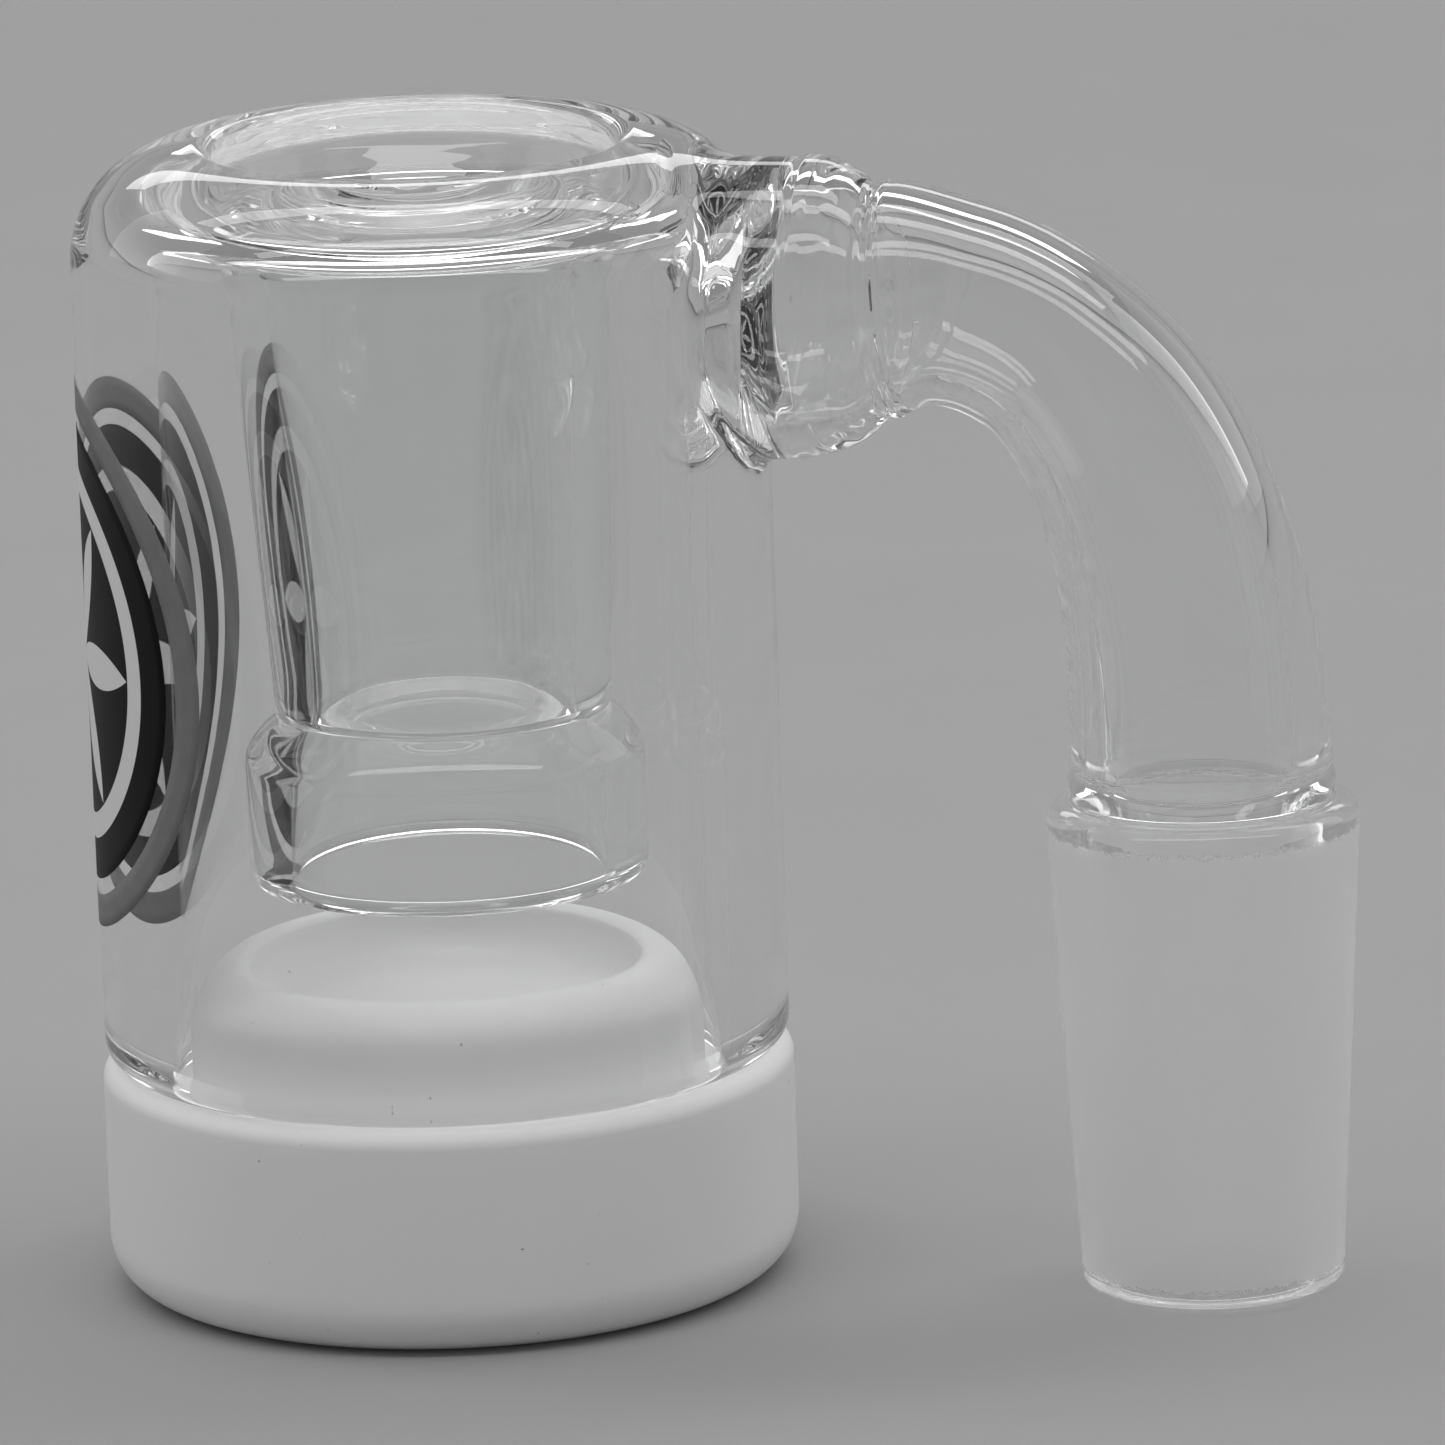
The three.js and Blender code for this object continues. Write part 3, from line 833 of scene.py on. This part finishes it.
def makeRosetteInk():
    material, tree, shader, shade = makeInk("badgeInk", badge["black"])
    axes = tree.nodes.new("ShaderNodeSeparateXYZ")
    tree.links.new(objectPlace(tree), axes.inputs[0])
    radius = jarRadius * millimetre
    # flatten the jar: across is the distance round it from the badge's middle
    spin = mathNode(tree, "ARCTAN2", axes.outputs["Y"], axes.outputs["X"])
    fromMiddle = mathNode(tree, "SUBTRACT", spin, math.radians(badge["turn"]) - 2 * math.pi)
    wrapped = mathNode(tree, "WRAP", fromMiddle, math.pi, -math.pi)
    across = mathNode(tree, "MULTIPLY", wrapped, radius)
    up = mathNode(tree, "SUBTRACT", axes.outputs["Z"], badgeZ * millimetre)
    reach = lengthNode(tree, across, up)
    heading = mathNode(tree, "ARCTAN2", up, across)
    sixth = math.pi / 3
    inSector = mathNode(tree, "WRAP", heading, sixth / 2, -sixth / 2)
    along = mathNode(tree, "MULTIPLY", reach, mathNode(tree, "COSINE", inSector))
    off = mathNode(tree, "ABSOLUTE", mathNode(tree, "MULTIPLY", reach, mathNode(tree, "SINE", inSector)))
    # each half of a petal is an arc about a point that lies beside it
    petal = badge["petal"] * millimetre
    fromX = mathNode(tree, "SUBTRACT", along, petal * 0.5)
    fromY = mathNode(tree, "ADD", off, petal * 0.866)
    inPetal = mathNode(tree, "LESS_THAN", lengthNode(tree, fromX, fromY), petal)
    ringLowEdge, ringHighEdge = badge["whiteRing"]
    inRing = mathNode(tree, "MULTIPLY",
                      mathNode(tree, "GREATER_THAN", reach, ringLowEdge * millimetre),
                      mathNode(tree, "LESS_THAN", reach, ringHighEdge * millimetre))
    white = mathNode(tree, "MAXIMUM", inPetal, inRing)
    mixed = mathNode(tree, "MULTIPLY_ADD", white, badge["white"], shade)
    tree.links.new(mixed, shader.inputs["Base Color"])
    return material


def makeBadge():
    grey = makeInk("ringInk", badge["grey"])[0]
    ring = badgeFilm("badgeRing", badgeRadius - badge["band"], badgeRadius, grey)
    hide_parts("badge_ring")
    disc = badgeFilm("badgeDisc", 0, badge["disc"], makeRosetteInk())
    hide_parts("badge_disc")


studio = {
    "floorSize": 4.0,
    "floorGrey": 0.42,
    "paintedFrontShade": 0.9,       # painted shade: the floor's colour darkens towards the front, standing in for the light that falls off there
    "shadeReach": (-0.045, 0.03),
    "sky": 0.24,
    "horizon": 0.36,
    "skyFrom": 0.45,         # how steep a direction has to be to see only the sky
    "aim": 0.03,             # height that the lamps point at
}

# Soft lights of an open-fronted tent. Metres from the object: across is to the right of the
# camera's view, towards is to the front.
softLights = {
    "frontStrip": {"across": 0.0, "towards": 0.47, "height": 1.0, "size": (2.0, 0.14), "glow": 4.6},
    "backStrip": {"across": 0.0, "towards": -0.31, "height": 1.0, "size": (1.7, 0.18), "glow": 3.4},
    "ceiling": {"across": 0.0, "towards": 0.07, "height": 1.04, "size": (1.5, 0.5), "glow": 0.5},
    "backWindow": {"across": 0.0, "towards": -1.3, "height": 0.66, "size": (1.3, 0.2), "glow": 2.2},
    "leftWall": {"across": -1.1, "towards": -0.35, "height": 0.62, "size": (0.9, 0.8), "glow": 0.7},
    "rightWall": {"across": 1.1, "towards": -0.35, "height": 0.62, "size": (0.9, 0.8), "glow": 0.7},
}

camera = {
    "azimuth": 11.716,       # degrees
    "elevation": 13.224,
    "roll": -1.948,
    "distance": 0.58,        # metres
    "lens": 309.0,
    "sensor": 36,
    "across": 0.013405,
    "height": 0.025942,
}


def makeFloor():
    half = studio["floorSize"] / 2
    mesh = bpy.data.meshes.new("studioFloor")
    corners = [(-half, -half, 0), (half, -half, 0), (half, half, 0), (-half, half, 0)]
    mesh.from_pydata(corners, [], [(0, 1, 2, 3)])
    floor = bpy.data.objects.new("studioFloor", mesh)
    bpy.context.scene.collection.objects.link(floor)
    material, tree, shader = newMaterial("floorPaper")
    place = objectPlace(tree)
    shade = rangeNode(tree, noiseNode(tree, place, 60, 3.0), 0.3, 0.7, 0.99, 1.01)
    axes = tree.nodes.new("ShaderNodeSeparateXYZ")
    tree.links.new(place, axes.inputs[0])
    near, far = studio["shadeReach"]
    # painted shade: the floor is darkened towards the front in place of light falling off
    paintedFrontShade = rangeNode(tree, axes.outputs["Y"], near, far, studio["paintedFrontShade"], 1.0)
    paper = mathNode(tree, "MULTIPLY", shade, mathNode(tree, "MULTIPLY", paintedFrontShade, studio["floorGrey"]))
    tree.links.new(paper, shader.inputs["Base Color"])
    shader.inputs["Roughness"].default_value = 0.9
    shader.inputs["Specular IOR Level"].default_value = 0.1
    mesh.materials.append(material)


def makeWorld():
    world = bpy.data.worlds.new("softRoom")
    bpy.context.scene.world = world
    world.use_nodes = True
    tree = world.node_tree
    background = next(n for n in tree.nodes if n.type == "BACKGROUND")
    direction = tree.nodes.new("ShaderNodeTexCoord").outputs["Generated"]
    axes = tree.nodes.new("ShaderNodeSeparateXYZ")
    tree.links.new(direction, axes.inputs[0])
    glow = rangeNode(tree, axes.outputs["Z"], 0.0, studio["skyFrom"], studio["horizon"], studio["sky"])
    tree.links.new(glow, background.inputs["Color"])


def cameraAxes():
    turn, lift = math.radians(camera["azimuth"]), math.radians(camera["elevation"])
    right = Vector((math.cos(turn), math.sin(turn), 0))
    back = Vector((math.sin(turn) * math.cos(lift), -math.cos(turn) * math.cos(lift), math.sin(lift)))
    return right, back


def makeSoftLight(name, spec):
    right = cameraAxes()[0]
    front = Vector((right.y, -right.x, 0))
    place = right * spec["across"] + front * spec["towards"] + Vector((0, 0, spec["height"]))
    light = bpy.data.lights.new(name, "AREA")
    light.shape = "RECTANGLE"
    light.size, light.size_y = spec["size"]
    light.energy = spec["glow"] * math.pi * light.size * light.size_y
    lamp = bpy.data.objects.new(name, light)
    facing = (place - Vector((0, 0, studio["aim"]))).normalized()
    along = right if abs(spec["across"]) < 0.1 else front
    along = (along - facing * along.dot(facing)).normalized()
    turned = Matrix((along, facing.cross(along), facing)).transposed().to_4x4()
    lamp.matrix_world = Matrix.Translation(place) @ turned
    bpy.context.scene.collection.objects.link(lamp)


def makeCamera():
    right, back = cameraAxes()
    roll = math.radians(camera["roll"])
    up = back.cross(right)
    target = right * camera["across"] + Vector((0, 0, camera["height"]))
    lens = bpy.data.cameras.new("camera")
    lens.lens = camera["lens"]
    lens.sensor_width = camera["sensor"]
    eye = bpy.data.objects.new("camera", lens)
    rolledRight = math.cos(roll) * right + math.sin(roll) * up
    rolledUp = -math.sin(roll) * right + math.cos(roll) * up
    turned = Matrix((rolledRight, rolledUp, back)).transposed().to_4x4()
    eye.matrix_world = Matrix.Translation(target + back * camera["distance"]) @ turned
    bpy.context.scene.collection.objects.link(eye)
    bpy.context.scene.camera = eye


print("camera and studio")
makeCamera()
makeFloor()
makeWorld()
for lightName, lightSpec in softLights.items():
    makeSoftLight(lightName, lightSpec)

print("dish")
makeDish(makeDishWhite())
print("glass")
makeGlass(makeClearGlass(), makeGroundGlass())
print("badge")
makeBadge()

# light trapped in thick glass needs many bounces to get out
bounces = {"glass": 128, "diffuse": 6, "transparent": 32}
scene = bpy.context.scene
scene.cycles.max_bounces = bounces["glass"]
scene.cycles.transmission_bounces = bounces["glass"]
scene.cycles.glossy_bounces = bounces["glass"]
scene.cycles.diffuse_bounces = bounces["diffuse"]
scene.cycles.transparent_max_bounces = bounces["transparent"]
scene.view_settings.view_transform = "Standard"
scene.view_settings.look = "None"
